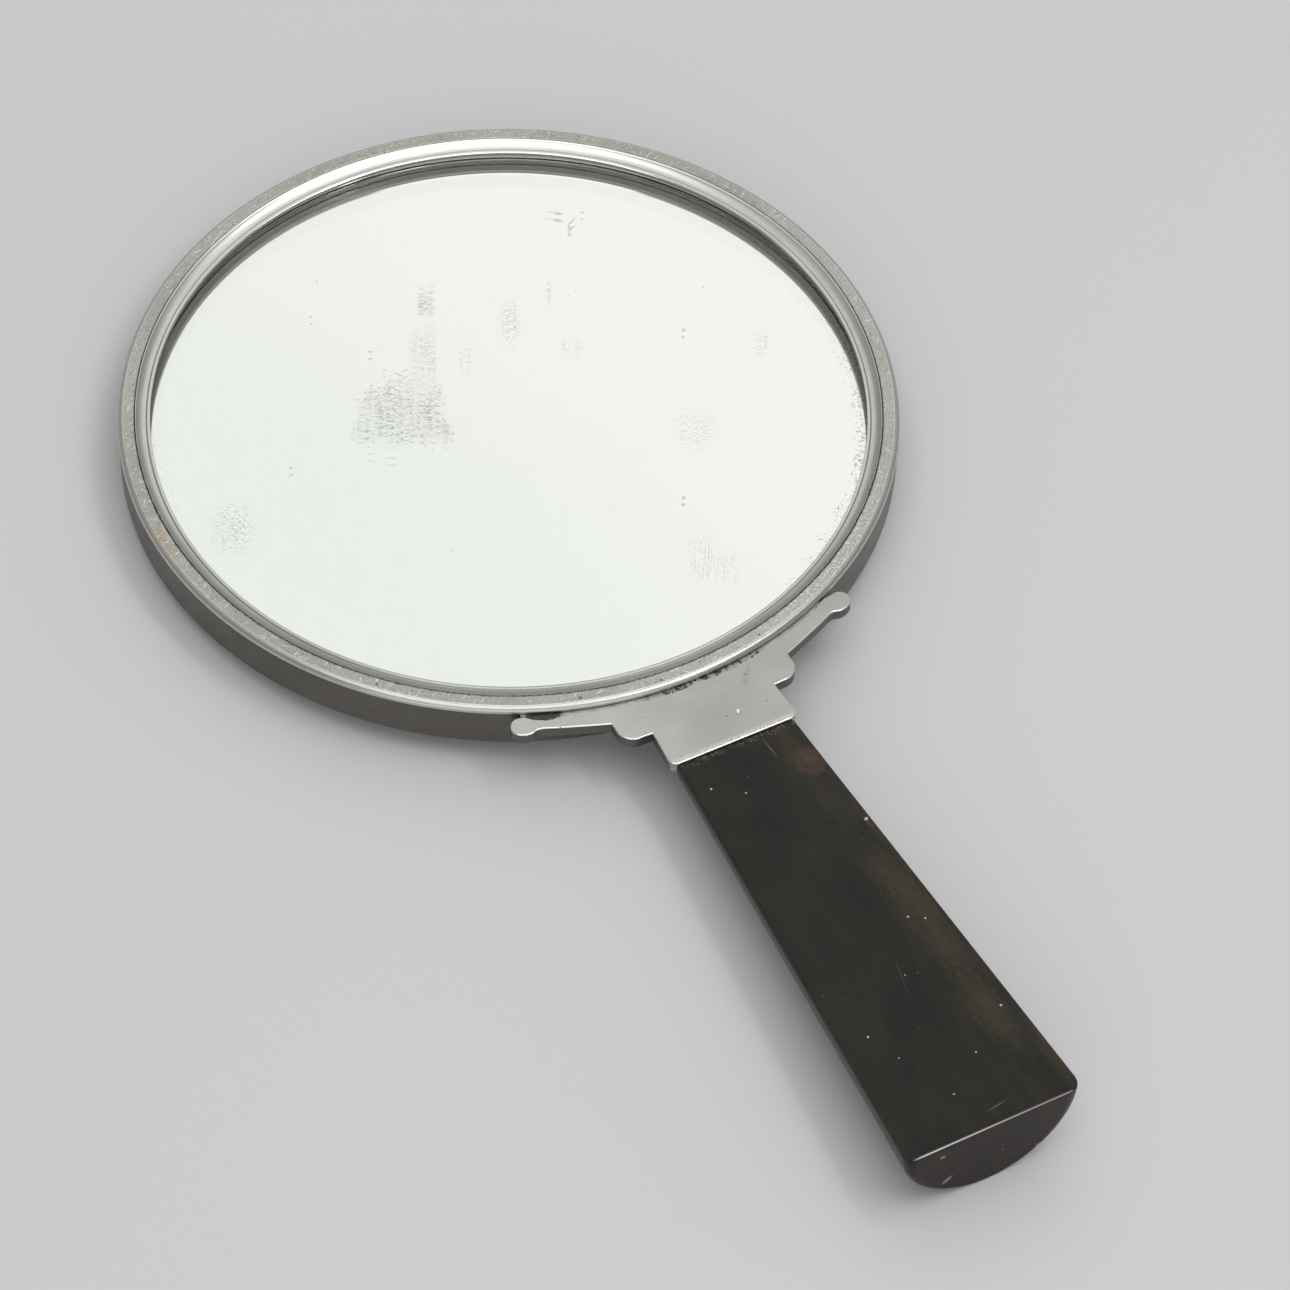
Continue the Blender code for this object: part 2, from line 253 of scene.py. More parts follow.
# ---------------------------------------------------------------- materials
def hoop_material():
    """Pewter: a grainy, scratched land with painted glints, a worn shoulder with a painted highlight
    along the land's outer edge, and a smooth wall painted dark as shade, with a painted highlight at its
    foot.
    """
    g = Graph("pewter_hoop_aged")
    x, y, z, r = g.x, g.y, g.z, g.r
    land = z.step(9.5, 9.64)
    wall = z.step(8.46, 8.38)
    broad = g.noise(g.p, 0.045, 3.0, 0.55)
    mid = g.noise(g.p, 0.35, 4.0, 0.6)
    fine = g.noise(g.p, 2.6, 4.0, 0.65)
    grit = g.noise(g.p, 6.5, 2.0, 0.6)
    rings = g.noise(g.vec(r, z, 0.0), 9.0, 3.0, 0.6)
    pits = g.dots(g.p, 1.9, 0.30, 0.22) * land
    big_pits = g.dots(g.p, 0.7, 0.24, 0.06) * land
    near = (x * 0.457 + y * 0.889).step(15.0, -25.0)
    rim_pits = g.noise(g.p, 1.8, 3.0, 0.6).step(0.52, 0.60) * r.step(68.1, 67.75) * land * near
    glint = g.noise(g.vec(x, y, z * 3.0), 2.6, 3.0, 0.7, 0.6).step(0.60, 0.66) * land
    scratch = g.lines(x, y, 35.0, 1.5, 9.0, 0.03, 0.56, 1.0).max(
        g.lines(x, y, -52.0, 1.8, 7.0, 0.03, 0.58, 5.0)
    ).max(g.lines(x, y, 8.0, 1.3, 8.0, 0.028, 0.6, 9.0))
    scratch = scratch * land
    colour = g.mix(broad.step(0.35, 0.65), (0.44, 0.445, 0.395), (0.53, 0.535, 0.485))
    colour = g.mix(fine.step(0.3, 0.75) * 0.55, colour, (0.36, 0.365, 0.31))
    shoulder = (1.0 - land) * (1.0 - wall)
    colour = g.mix(shoulder * 0.8, colour, (0.60, 0.59, 0.545))
    # Painted shade: the wall takes a much darker colour than the land's pewter.
    dark = g.mix(broad.step(0.3, 0.7), (0.135, 0.125, 0.112), (0.175, 0.165, 0.15))
    dark = g.mix(mid.step(0.45, 0.75) * 0.35, dark, (0.11, 0.096, 0.082))
    colour = g.mix(wall, colour, dark)
    # Painted highlight: the rounded foot of the wall is painted lighter.
    foot_highlight = z.step(1.0, 0.5)
    colour = g.mix(foot_highlight * 0.5, colour, (0.30, 0.29, 0.27))
    colour = g.mix(pits.max(big_pits).max(rim_pits) * 0.8, colour, (0.09, 0.088, 0.075))
    # Painted glints: white flecks over a patch of the land near the yoke and scattered across it (glint)
    # go into the same near-white as the scratches.
    gritty_glints = g.spot(x, y, 32.2, -58.2, 20.0, 6.0, 34, 0.5) * g.noise(g.p, 2.4, 3.0, 0.7).step(0.54, 0.60)
    gritty_glints = gritty_glints * land
    colour = g.mix(scratch.max(glint).max(gritty_glints) * 0.75, colour, (0.90, 0.91, 0.87))
    seam = r.step(67.72, 67.66) * near
    colour = g.mix(seam * 0.9, colour, (0.12, 0.115, 0.10))
    # Painted highlight: a near-white line along the land's rounded outer edge.
    land_edge_highlight = r.step(69.66, 69.74) * r.step(69.98, 69.9)
    colour = g.mix(land_edge_highlight * 0.8, colour, (0.93, 0.93, 0.90))
    stain = g.spot(x, y, -69.3, 0.4, 0.9, 1.9, 0.0, 0.5, 1.4).max(
        g.spot(x, y, -68.9, -4.2, 0.7, 2.6, 8.0, 0.5, 1.9) * 0.7
    )
    stain = stain * z.step(9.0, 9.5) * g.noise(g.p, 1.4, 4.0, 0.7).step(0.44, 0.56)
    colour = g.mix(stain * 0.75, colour, (0.50, 0.31, 0.12))
    rough = (
        land * (0.38 + fine * 0.22) + wall * (0.34 + mid * 0.12) + shoulder * 0.26 - land_edge_highlight * 0.12
    )
    rough = rough + stain * 0.25
    height = (
        grit * land * 0.5
        + fine * land * 0.8
        - (pits + big_pits + rim_pits) * 1.2
        - scratch * 0.5
        + rings * 0.22
        + mid * wall * 0.6
    )
    return g.set(
        Base_Color=colour,
        Roughness=rough,
        Metallic=1.0 - stain * 0.7,
        Normal=g.bump(height, 0.06, 0.6),
    )


def bezel_material():
    """Brighter pewter, polished along its turning, darker in the fine groove."""
    g = Graph("pewter_bezel_aged")
    r, z = g.r, g.z
    broad = g.noise(g.p, 0.06, 3.0, 0.5)
    rings = g.noise(g.vec(r, z, 0.0), 11.0, 2.0, 0.6)
    fine = g.noise(g.p, 3.0, 3.0, 0.6)
    groove = (r - 65.5).abs().step(0.12, 0.03)
    edge = r.step(67.3, 67.45)
    nick = g.dots(g.p, 0.7, 0.28, 0.05)
    inner = (r.step(64.95, 64.89) * z.step(8.34, 8.30)).max(z.step(7.8, 7.66))
    corner = r.step(64.95, 64.89) * z.step(8.30, 8.34) * z.step(8.72, 8.66)
    out = 1.0 - inner
    near = (g.x * 0.457 + g.y * 0.889).step(15.0, -25.0)
    colour = g.mix(broad.step(0.3, 0.7), (0.60, 0.60, 0.57), (0.67, 0.67, 0.645))
    colour = g.mix(fine.step(0.45, 0.8) * 0.3, colour, (0.44, 0.44, 0.40))
    lit = (g.x * 0.457 + g.y * 0.889).step(5.0, 45.0) * r.step(65.9, 66.6)
    colour = g.mix(lit * 0.8, colour, (0.92, 0.915, 0.90))
    colour = g.mix(groove * 0.55, colour, (0.20, 0.195, 0.18))
    colour = g.mix(edge * fine.step(0.40, 0.52) * near * 0.9, colour, (0.12, 0.115, 0.10))
    # Painted light: the inner wall is made a matte grey-brown and the underside a pale matte, so the dim
    # recess under the lip reads as an even grey-brown band in the mirror.
    colour = g.mix(inner, colour, (0.33, 0.32, 0.275))
    colour = g.mix(z.step(7.8, 7.66), colour, (0.78, 0.75, 0.66))
    # Painted highlight: the lip's inner top corner is painted near-white and smoother, so its reflection
    # shows a bright line.
    colour = g.mix(corner, colour, (0.95, 0.93, 0.87))
    return g.set(
        Base_Color=colour,
        Roughness=0.25 + fine * 0.10 + groove * 0.3 + inner * 0.3 - corner * 0.14,
        Metallic=1.0 - inner * 0.9,
        Normal=g.bump((rings * 0.45 + fine * 0.35 - nick) * out * (1.0 - corner), 0.03, 0.4),
    )


def yoke_material():
    """Cast and hand-filed pewter, satin, with worn edges painted near-white as a highlight and sides
    painted dark as shade.
    """
    g = Graph("pewter_yoke_aged")
    x, y, z = g.x, g.y, g.z
    broad = g.noise(g.p, 0.07, 3.0, 0.5)
    mid = g.noise(g.p, 0.5, 3.0, 0.6)
    fine = g.noise(g.p, 3.2, 4.0, 0.65)
    filed = g.noise(g.vec(x * 0.25, y * 2.2, z), 1.5, 2.0, 0.6)
    top = g.nz.step(0.9, 0.99)
    edge = g.nz.step(0.25, 0.5) * g.nz.step(0.985, 0.9)
    side = g.nz.step(0.25, 0.05)
    scratch = g.lines(x, y, 20.0, 1.1, 12.0, 0.02, 0.6, 2.0).max(
        g.lines(x, y, -35.0, 1.3, 9.0, 0.022, 0.62, 4.0)
    )
    dent_with_highlight = g.spot(x, y, 3.42, -80.08, 0.26, 0.5, -25.0, 0.2, 0.6)
    flecks = g.dots(g.p, 0.9, 0.22, 0.06)
    marks = g.spot(x, y, 8.6, -73.6, 2.6, 0.45, 55.0, 0.6, 1.6) * fine.step(0.45, 0.6)
    worn = y.step(-84.2, -85.1) * fine.step(0.38, 0.6)
    colour = g.mix(broad.step(0.3, 0.7), (0.42, 0.423, 0.39), (0.485, 0.488, 0.458))
    colour = g.mix(mid.step(0.45, 0.8) * 0.3, colour, (0.40, 0.40, 0.36))
    colour = g.mix(x.step(2.0, -22.0) * 0.5, colour, (0.62, 0.622, 0.585))
    # Painted shade: the sides and underside of the yoke are painted near black.
    colour = g.mix(side * 0.85, colour, (0.095, 0.09, 0.082))
    # Worn edges, painted near-white as a highlight along the rounded rims.
    colour = g.mix(edge * 0.95, colour, (0.96, 0.96, 0.94))
    # The worn neck end is painted near-white, partly as a painted highlight along its end.
    colour = g.mix(worn * 0.7, colour, (0.86, 0.86, 0.81))
    colour = g.mix(flecks.max(marks) * 0.6, colour, (0.17, 0.165, 0.15))
    colour = g.mix(scratch * top * 0.4, colour, (0.68, 0.68, 0.66))
    shade = g.spot(x, y, 3.30, -80.42, 0.3, 0.22, -25.0, 0.3, 0.5)
    colour = g.mix(shade * 0.7, colour, (0.14, 0.135, 0.12))
    # Painted highlight: the dent is painted near-white, with the painted shade beside it.
    colour = g.mix(dent_with_highlight, colour, (0.97, 0.97, 0.95))
    height = fine * 0.4 + filed * 0.25 + mid * 0.6 - flecks - scratch * 0.4 - dent_with_highlight * 1.5
    return g.set(
        Base_Color=colour,
        Roughness=0.34 + fine * 0.14 - edge * 0.20 - dent_with_highlight * 0.15,
        Metallic=1.0,
        Normal=g.bump(height, 0.05, 0.5),
    )


def back_material():
    """Pewter sheet, turned flat, dull and handled."""
    g = Graph("pewter_back_aged")
    rings = g.noise(g.vec(g.r, 0.0, 0.0), 4.5, 4.0, 0.7)
    broad = g.noise(g.p, 0.05, 4.0, 0.6)
    fine = g.noise(g.p, 2.2, 4.0, 0.65)
    scratch = g.lines(g.x, g.y, 62.0, 0.8, 22.0, 0.012, 0.6, 3.0).max(
        g.lines(g.x, g.y, -18.0, 0.7, 26.0, 0.012, 0.62, 8.0)
    )
    pits = g.dots(g.p, 0.45, 0.2, 0.08)
    colour = g.mix(broad.step(0.3, 0.7), (0.30, 0.30, 0.275), (0.42, 0.42, 0.395))
    colour = g.mix(fine.step(0.45, 0.8) * 0.3, colour, (0.22, 0.215, 0.195))
    colour = g.mix(scratch * 0.6, colour, (0.66, 0.66, 0.64))
    colour = g.mix(pits * 0.7, colour, (0.1, 0.095, 0.085))
    return g.set(
        Base_Color=colour,
        Roughness=0.32 + broad * 0.16 + fine * 0.1,
        Metallic=1.0,
        Normal=g.bump(rings * 0.5 + fine * 0.4 - scratch * 0.6 - pits, 0.05, 0.6),
    )


def solder_material():
    g = Graph("solder_aged")
    mid = g.noise(g.p, 0.9, 4.0, 0.65)
    fine = g.noise(g.p, 4.0, 4.0, 0.7)
    pits = g.dots(g.p, 2.2, 0.4, 0.3)
    x, y, z = g.x, g.y, g.z
    # Dark: a blotch near the left ball and patches along the middle of the run, and painted shade over
    # the whole fillet under the yoke (below z 7.2).
    dark_patch_and_shade = g.spot(x, y, -27.2, -65.8, 4.4, 2.4, 22.0, 0.2, 0.8).max(
        x.step(-11.0, -8.0) * x.step(15.0, 12.0) * mid.step(0.47, 0.54)
    ).max(z.step(7.6, 7.2) * 0.8)
    colour = g.mix(mid.step(0.35, 0.65), (0.36, 0.355, 0.33), (0.50, 0.495, 0.46))
    colour = g.mix(dark_patch_and_shade, colour, (0.055, 0.053, 0.048))
    colour = g.mix(dark_patch_and_shade * fine.step(0.52, 0.62) * 0.6, colour, (0.26, 0.255, 0.235))
    colour = g.mix(pits * 0.6, colour, (0.05, 0.048, 0.042))
    return g.set(
        Base_Color=colour,
        Roughness=0.42 + fine * 0.25,
        Metallic=0.9,
        Normal=g.bump(mid + fine * 0.7 - pits, 0.12, 0.9),
    )


def horn_material():
    """Polished dark horn: brown flame at one side, fine scratches, dust and chips."""
    g = Graph("horn_polished")
    x, y, z = g.x, g.y, g.z
    long_grain = g.noise(g.vec(x, y * 0.12, z), 0.35, 4.0, 0.6, 0.4)
    cloud = g.noise(g.vec(x, y * 0.45, z), 0.13, 3.0, 0.55, 0.3)
    fine = g.noise(g.p, 2.4, 4.0, 0.6)
    half = 11.5 + (g.math("MULTIPLY", y + 85.9, -1.0)) * 0.0586
    side = (x / half).step(0.12, 0.95)
    top = g.nz.step(0.6, 0.9)
    colour = g.mix(cloud.step(0.35, 0.7), (0.0125, 0.0125, 0.0100), (0.0200, 0.0190, 0.0145))
    flame = side * long_grain.step(0.42, 0.72)
    colour = g.mix(flame * 0.85, colour, (0.052, 0.038, 0.020))
    warm = side * g.noise(g.vec(x, y * 0.3, z + 9.0), 0.22, 2.0, 0.5, 0.5).step(0.5, 0.75)
    colour = g.mix(warm * 0.6, colour, (0.055, 0.030, 0.021))
    for cx, cy, rx, ry, share in (
        (9.2, -121.6, 1.5, 4.2, 0.75),
        (10.4, -129.0, 1.6, 4.0, 0.7),
        (10.4, -138.2, 1.7, 4.6, 0.6),
        (10.6, -152.6, 1.9, 5.0, 0.85),
        (9.8, -104.5, 1.6, 4.0, 0.4),
    ):
        blot = g.spot(x, y, cx, cy, rx * 1.35, ry * 1.2, 4.0, 0.98, 2.6) * g.nz.step(0.3, 0.8)
        colour = g.mix(blot * share * 0.62, colour, (0.062, 0.049, 0.024))
    ring = g.spot(x, y, 9.45, -94.9, 2.7, 3.0, 0.0, 0.2, 0.35)
    hollow = g.spot(x, y, 9.5, -94.9, 2.0, 2.25, 0.0, 0.25, 0.35)
    core = g.spot(x, y, 9.7, -94.4, 1.2, 1.3, 0.0, 0.6, 0.4)
    colour = g.mix(ring * 0.6, colour, (0.075, 0.045, 0.034))
    colour = g.mix(hollow * 0.5, colour, (0.040, 0.024, 0.018))
    colour = g.mix(core * 0.55, colour, (0.085, 0.054, 0.038))
    ends = y.step(-172.6, -173.7)
    red = g.noise(g.p, 0.28, 3.0, 0.6).step(0.42, 0.66)
    colour = g.mix(ends * 0.6, colour, (0.008, 0.006, 0.005))
    colour = g.mix(ends * red * 0.8, colour, (0.030, 0.008, 0.005))
    # pale specks of dust and small chips
    dust = g.dots(g.p, 0.55, 0.055, 0.11) * top
    dust = dust.max(g.dots(g.p, 1.3, 0.09, 0.05) * top * 0.6)
    chips = None
    for cx, cy, size in (
        (7.94, -131.14, 0.22),
        (10.4, -132.71, 0.20),
        (1.54, -141.29, 0.14),
        (-10.09, -149.34, 0.22),
        (12.66, -153.75, 0.24),
        (4.23, -159.98, 0.18),
        (-7.62, -155.27, 0.15),
        (-3.16, -165.49, 0.18),
        (-8.6, -92.6, 0.22),
        (-3.7, -96.0, 0.19),
        (11.85, -110.1, 0.36),
    ):
        made = g.spot(x, y, cx, cy, size, size * 0.8, 30.0, 0.3, 0.5)
        chips = made if chips is None else chips.max(made)
    chips = chips * top
    joint = y.step(-87.6, -85.9) * g.noise(g.p, 2.2, 3.0, 0.6).step(0.50, 0.64) * top
    strokes = g.lines(x, y, -62.0, 0.8, 14.0, 0.007, 0.60, 1.0).max(
        g.lines(x, y, -84.0, 0.55, 26.0, 0.006, 0.60, 6.0)
    )
    cut = g.spot(x, y, 4.65, -89.4, 0.09, 2.1, 4.0, 0.5).max(
        g.spot(x, y, 0.9, -141.2, 0.09, 3.4, -12.0, 0.8) * 0.3
    ).max(g.spot(x, y, 2.0, -170.6, 1.6, 0.16, 8.0, 0.6, 0.4) * 0.7)
    light = (dust * 0.5).max(chips).max(joint * 0.22).max(strokes * top * 0.05).max(
        cut * top * 0.22
    )
    colour = g.mix(light, colour, (0.50, 0.47, 0.42))
    # The end's top arris is painted pale: worn, and a painted highlight, brightest towards the left.
    arris_highlight = y.step(-173.50, -173.58) * z.step(7.55, 7.65) * (x / half).abs().step(0.97, 0.8)
    arris_highlight = arris_highlight * (x / half).step(-0.9, 0.6, 1.0, 0.45)
    colour = g.mix(arris_highlight * 0.8, colour, (0.80, 0.79, 0.77))
    # Painted highlight: a light brown line along the rounded top of both long edges.
    long_edge_highlight = (x / half).abs().step(0.955, 0.985) * z.step(7.0, 7.5)
    colour = g.mix(long_edge_highlight * (0.25 + fine * 0.4), colour, (0.060, 0.052, 0.042))
    orange = g.spot(x, z, -9.8, 5.0, 0.5, 0.4, 0.0, 0.4, 0.5) * ends
    colour = g.mix(orange, colour, (0.35, 0.13, 0.03))
    nicks = g.spot(x, z, 9.0, -4.2, 0.55, 0.35, 40.0, 0.4, 0.6).max(
        g.spot(x, z, -8.4, -2.6, 1.1, 0.4, 35.0, 0.4, 0.7)
    ).max(g.spot(x, z, 2.0, -0.8, 0.16, 0.14, 0.0, 0.3))
    colour = g.mix(nicks * y.step(-173.2, -173.6) * 0.6, colour, (0.34, 0.33, 0.27))
    height = fine * 0.25 + long_grain * 0.5 - strokes * 0.5 - cut + dust * 0.8 + chips
    return g.set(
        Base_Color=colour,
        Roughness=0.17 + fine * 0.1 + cloud * 0.08 + light * 0.3,
        Metallic=0.0,
        IOR=1.54,
        Specular_IOR_Level=0.17,
        Normal=g.bump(height, 0.02, 0.3),
    )


def glass_material():
    """Clear glass whose front carries scuffs, streaks and small bruises."""
    g = Graph("glass_scuffed")
    x, y = g.x, g.y
    u, w = g.turned(x, y, -26.7)
    w = w * -1.0
    front = g.nz.step(0.9, 0.99)
    wob = g.noise(g.vec(u, w), 0.9, 3.0, 0.65) - 0.5
    streaks = g.noise(g.vec(u * 0.5, w * 1.35), 1.5, 3.0, 0.65, 1.1)
    streaks2 = g.noise(g.vec(u * 0.9, w * 1.2, 4.0), 1.7, 3.0, 0.65, 1.3)
    spread = g.noise(g.vec(u * 0.8, w, 2.0), 0.22, 3.0, 0.55)
    u2, w2 = u + wob * 8.0, w + wob * 9.0

    def block(u0, u1, w0, w1, soft):
        return (
            u2.step(u0 - soft, u0 + soft)
            * u2.step(u1 + soft, u1 - soft)
            * w2.step(w0 - soft, w0 + soft)
            * w2.step(w1 + soft, w1 - soft)
        )

    main = block(-27.2, -12.6, -8.4, 6.2, 0.8) * (
        w2 + (u2 + 20.0).min(0.0) * 0.6
    ).step(-8.9, -7.9)
    low = block(-28.0, -10.0, 2.0, 6.6, 0.7)
    column = (
        (u + wob * 3.2).step(-18.6, -17.2)
        * u.step(-13.2, -13.5)
        * w.step(-22.6, -20.0)
        * w.step(6.5, 5.0)
    )
    strip = (
        (u + wob * 2.6).step(-17.2, -16.2)
        * (u + wob * 1.6).step(-13.6, -14.2)
        * w.step(-32.4, -30.6)
        * w.step(-23.5, -26.0)
    )
    area = main.max(low * 0.9).max(column * 0.55).max(strip * spread.step(0.30, 0.5) * 0.9)
    dark = streaks.step(0.55, 0.59) * (1.0 - streaks2.step(0.5, 0.55) * 0.5)
    dark = dark.max(streaks2.step(0.585, 0.62) * 0.9)
    scuff = area * (dark * (0.34 + spread.step(0.35, 0.6) * 0.45) + 0.03)
    marks = scuff
    for cx, cy, rx, ry, angle, share in (
        (30.2, 40.8, 1.79, 0.23, -36, 0.34),
        (30.7, 40.3, 0.85, 0.40, -39, 0.66),
        (32.0, 37.2, 1.17, 0.19, 24, 0.66),
        (31.0, 36.1, 0.57, 0.36, -113, 0.55),
        (34.9, 38.5, 0.28, 0.29, -27, 0.6),
        (37.7, 3.5, 0.34, 0.40, 0.0, 0.62),
        (18.4, -32.4, 0.34, 0.40, 0.0, 0.62),
        (-22.0, 37.2, 0.36, 0.24, -27.0, 0.55),
        (-41.1, 5.5, 0.34, 0.30, 0.0, 0.5),
        (-16.1, 24.5, 0.48, 0.22, -27.0, 0.6),
        (-15.7, 19.3, 0.44, 0.21, -34, 0.4),
        (-13.9, 17.1, 0.87, 0.21, -55, 0.5),
        (-12.5, 17.5, 0.70, 0.19, 13, 0.5),
        (-26.9, 2.1, 0.72, 0.17, -34, 0.3),
        (-24.1, -0.4, 1.08, 0.19, -34, 0.3),
        (-20.7, 15.6, 0.25, 0.2, 0.0, 0.45),
    ):
        made = g.spot(x, y, cx, cy, rx, ry, angle, 0.3, 0.5)
        marks = marks.max(made * share)
    fine = g.noise(g.vec(u * 1.1, w * 1.7, 3.0), 1.3, 3.0, 0.6)
    upright = g.noise(g.vec(u * 3.2, w * 0.5, 5.0), 1.0, 3.0, 0.6)
    for cx, cy, rx, ry, kind, share in (
        (10.4, 20.0, 1.9, 4.6, fine, 0.42),
        (-0.9, 15.4, 1.6, 2.6, fine, 0.26),
        (17.3, 9.6, 2.2, 2.6, fine, 0.22),
        (49.4, -5.1, 1.5, 3.2, fine, 0.28),
        (28.5, -18.0, 3.6, 4.2, fine, 0.26),
        (15.2, -45.3, 2.2, 4.6, upright, 0.32),
        (17.8, -49.7, 2.0, 3.6, upright, 0.26),
        (-56.2, -1.9, 3.2, 5.2, fine, 0.45),
        (20.2, 23.6, 0.6, 2.6, fine, 0.4),
    ):
        made = g.spot(x, y, cx, cy, rx, ry, -26.7, 0.7, 0.9)
        marks = marks.max(made * kind.step(0.52, 0.60) * share)
    haze = g.noise(g.vec(u, w, 8.0), 0.09, 3.0, 0.6)
    marks = marks * front
    colour = g.mix(marks, (0.985, 0.985, 0.978), (0.16, 0.165, 0.16))
    return g.set(
        Base_Color=colour,
        Roughness=marks * 0.10 + haze * front * 0.008,
        Metallic=0.0,
        IOR=1.52,
        Transmission_Weight=1.0,
        Normal=g.bump(marks * streaks2, 0.02, 0.3),
    )


def silver_material():
    """The silvering behind the glass, black where it has gone along the edge."""
    g = Graph("silvering_aged")
    x, y, r = g.x, g.y, g.r
    angle = g.math("ARCTAN2", y, x)
    right = angle.step(-1.3, -0.9) * angle.step(0.1, -0.3)
    left = (angle.abs()).step(2.4, 2.75) * angle.step(-0.1, 0.2).max(
        angle.step(-2.9, -3.1)
    )
    fine = g.noise(g.p, 2.1, 4.0, 0.7)
    coarse = g.noise(g.p, 0.35, 2.0, 0.5)
    near_edge = (r + (coarse - 0.5) * 5.0).step(60.4, 66.2)
    rot = (fine + near_edge * 0.12).step(0.61, 0.67) * near_edge.step(0.05, 0.5)
    rot = rot * (right + left * 0.2).min(1.0) * 0.42
    rim = r.step(65.2, 66.1) * fine.step(0.42, 0.6)
    rot = rot.max(rim * 0.12)
    dots = g.dots(g.p, 0.3, 0.05, 0.2)
    # the face is tinted lighter and warmer towards the far side, and lighter still towards +x
    u, w = g.turned(x, y, -26.7)
    warm = (u * 0.5 + w).step(-30.0, 40.0)
    tint = g.mix(warm, (0.885, 0.918, 0.895), (0.940, 0.945, 0.900))
    tint = g.mix(x.step(-45.0, 45.0) * 0.75, tint, (0.970, 0.980, 0.942))
    tint = g.mix(rot.max(dots * 0.5), tint, (0.06, 0.058, 0.052))
    return g.set(
        Base_Color=tint,
        Roughness=0.012 + rot * 0.4,
        Metallic=1.0 - rot * 0.6,
    )


def paper_material(name, a, b, fibre):
    g = Graph(name)
    broad = g.noise(g.p, 0.15, 4.0, 0.6)
    hair = g.noise(g.vec(g.x * 0.4, g.y, g.z * 0.4), fibre, 4.0, 0.7, 0.5)
    fleck = g.dots(g.p, 0.8, 0.2, 0.15)
    colour = g.mix(broad.step(0.3, 0.7), a, b)
    colour = g.mix(hair.step(0.45, 0.75) * 0.4, colour, tuple(c * 0.6 for c in a))
    colour = g.mix(fleck * 0.5, colour, tuple(c * 0.35 for c in a))
    return g.set(
        Base_Color=colour,
        Roughness=0.82 + hair * 0.12,
        Normal=g.bump(hair + broad * 0.5, 0.08, 0.7),
    )


def felt_material():
    g = Graph("felt_aged")
    fuzz = g.noise(g.p, 2.6, 5.0, 0.75, 1.2)
    broad = g.noise(g.p, 0.12, 3.0, 0.6)
    colour = g.mix(fuzz.step(0.3, 0.7), (0.12, 0.14, 0.11), (0.22, 0.24, 0.20))
    colour = g.mix(broad.step(0.4, 0.7) * 0.3, colour, (0.26, 0.24, 0.18))
    g.bsdf.inputs["Sheen Weight"].default_value = 0.4
    g.bsdf.inputs["Sheen Roughness"].default_value = 0.5
    return g.set(
        Base_Color=colour, Roughness=0.9 + fuzz * 0.08, Normal=g.bump(fuzz, 0.2, 0.9)
    )


def steel_material():
    g = Graph("tang_steel_filed")
    filed = g.noise(g.vec(g.x * 2.5, g.y * 0.2, g.z * 2.5), 1.6, 3.0, 0.6)
    rust = g.noise(g.p, 0.4, 5.0, 0.7).step(0.52, 0.68)
    colour = g.mix(filed.step(0.3, 0.7), (0.30, 0.295, 0.285), (0.50, 0.49, 0.475))
    colour = g.mix(rust * 0.7, colour, (0.14, 0.06, 0.03))
    return g.set(
        Base_Color=colour,
        Roughness=0.32 + rust * 0.4 + filed * 0.1,
        Metallic=1.0 - rust * 0.7,
        Normal=g.bump(filed + rust * 0.6, 0.05, 0.7),
    )


def cement_material():
    g = Graph("tang_cement_aged")
    mid = g.noise(g.p, 0.6, 4.0, 0.65)
    bubbles = g.dots(g.p, 1.1, 0.3, 0.3)
    colour = g.mix(mid.step(0.3, 0.7), (0.20, 0.13, 0.07), (0.33, 0.25, 0.15))
    colour = g.mix(bubbles * 0.6, colour, (0.08, 0.05, 0.03))
    return g.set(
        Base_Color=colour,
        Roughness=0.5 + mid * 0.25,
        Normal=g.bump(mid - bubbles, 0.15, 0.8),
    )


# ---------------------------------------------------------------- geometry
def finish_object(name, bm, mat, smooth=28.0, weighted=True):
    bmesh.ops.recalc_face_normals(bm, faces=bm.faces)
    mesh = bpy.data.meshes.new(name)
    bm.to_mesh(mesh)
    bm.free()
    mesh.transform(REST @ Matrix.Scale(MM, 4))
    mesh.shade_smooth()
    mesh.set_sharp_from_angle(angle=math.radians(smooth))
    mesh.materials.append(mat)
    obj = bpy.data.objects.new(name, mesh)
    scene.collection.objects.link(obj)
    if weighted:
        made = obj.modifiers.new("normals", "WEIGHTED_NORMAL")
        made.keep_sharp = True
        made.weight = 90
    return obj


def turned(name, profile, mat, steps=288, ring=True, waver=None, smooth=28.0):
    """Turns a profile of (radius, height) about Z. waver(r, z, angle) may move a point."""
    bm = bmesh.new()
    rows = []
    for r, z in profile:
        if r < 1e-6:
            rows.append([bm.verts.new((0.0, 0.0, z))])
            continue
        row = []
        for i in range(steps):
            a = math.tau * i / steps
            dr, dz = waver(r, z, a) if waver else (0.0, 0.0)
            row.append(bm.verts.new(((r + dr) * math.cos(a), (r + dr) * math.sin(a), z + dz)))
        rows.append(row)
    pairs = list(zip(rows, rows[1:]))
    if ring:
        pairs.append((rows[-1], rows[0]))
    for a, b in pairs:
        for i in range(steps):
            j = (i + 1) % steps
            if len(a) == 1 and len(b) == 1:
                continue
            if len(a) == 1:
                bm.faces.new((a[0], b[i], b[j]))
            elif len(b) == 1:
                bm.faces.new((a[i], b[0], a[j]))
            else:
                bm.faces.new((a[i], b[i], b[j], a[j]))
    return finish_object(name, bm, mat, smooth)


